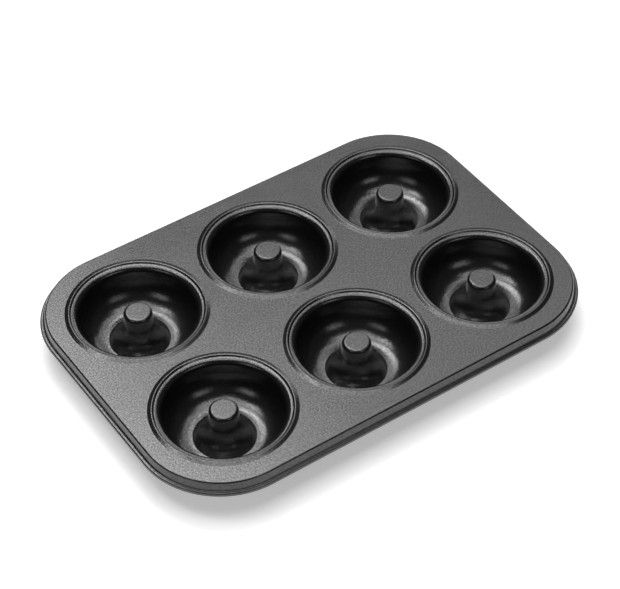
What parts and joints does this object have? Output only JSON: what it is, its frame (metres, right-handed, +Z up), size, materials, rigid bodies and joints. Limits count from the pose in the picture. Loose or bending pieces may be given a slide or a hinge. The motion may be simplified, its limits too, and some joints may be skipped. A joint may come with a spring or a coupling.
{
  "type": "doughnut pan",
  "caption": "Flat baking pan of pressed, dark-coated steel sheet with ring-shaped cups round raised pegs, a bead at each cup's mouth, a short skirt and a turned lip.",
  "frame": {"origin": "centre of the pan in plan, on the plane of the cups' undersides, where the pan stands", "axes": "+X along the pan's long side, +Y across its rows of cups, +Z up out of the cups"},
  "size_m": [0.264, 0.184, 0.0226],
  "materials": {
    "coating": "semi-matt dark non-stick coating with a fine grain"
  },
  "bodies": {
    "root": {"doughnut_pan": "coating"}
  },
  "joints": []
}
